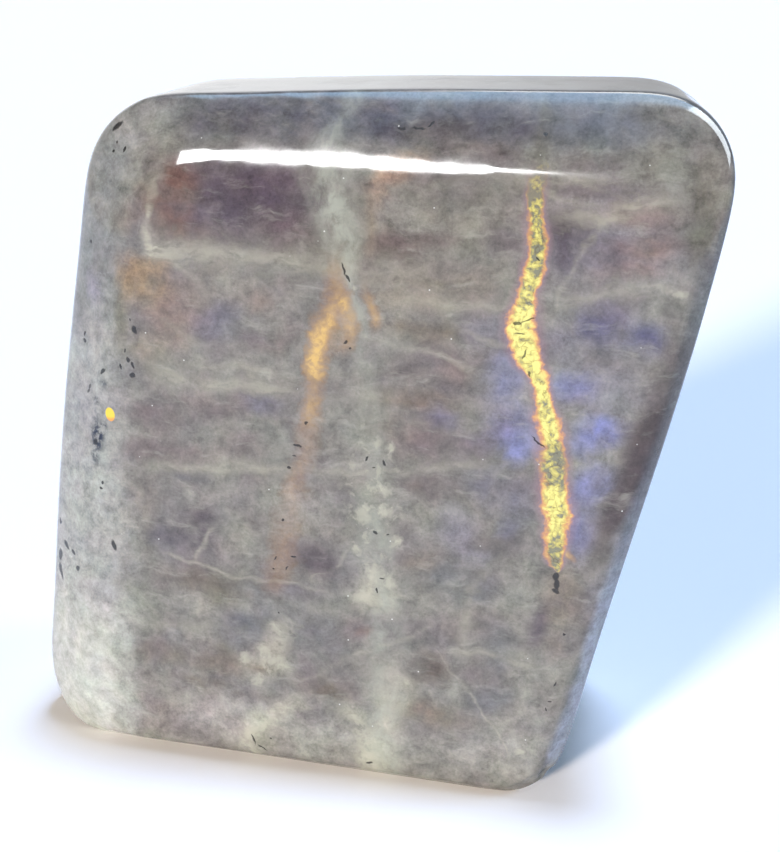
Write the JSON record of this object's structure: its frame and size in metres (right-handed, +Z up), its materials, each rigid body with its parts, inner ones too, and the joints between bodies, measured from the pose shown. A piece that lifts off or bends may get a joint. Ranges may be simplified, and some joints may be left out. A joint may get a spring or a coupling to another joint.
{
  "type": "labradorite freeform tower",
  "caption": "Upright polished labradorite freeform with a flat sawn base, a leaning four-sided outline, a wide bevel along the top and a soft bevel down the left.",
  "frame": {"origin": "on the flat base, below the middle of the stone's box", "axes": "+Z up; -Y out of the polished face that shows the flash; +X to the right of that face, towards which the stone leans"},
  "size_m": [0.1002, 0.0422, 0.099],
  "materials": {
    "stone": "polished, grey translucent feldspar with pale veils and a gold and blue flash"
  },
  "bodies": {
    "root": {"labradorite_stone": "stone"}
  },
  "joints": []
}
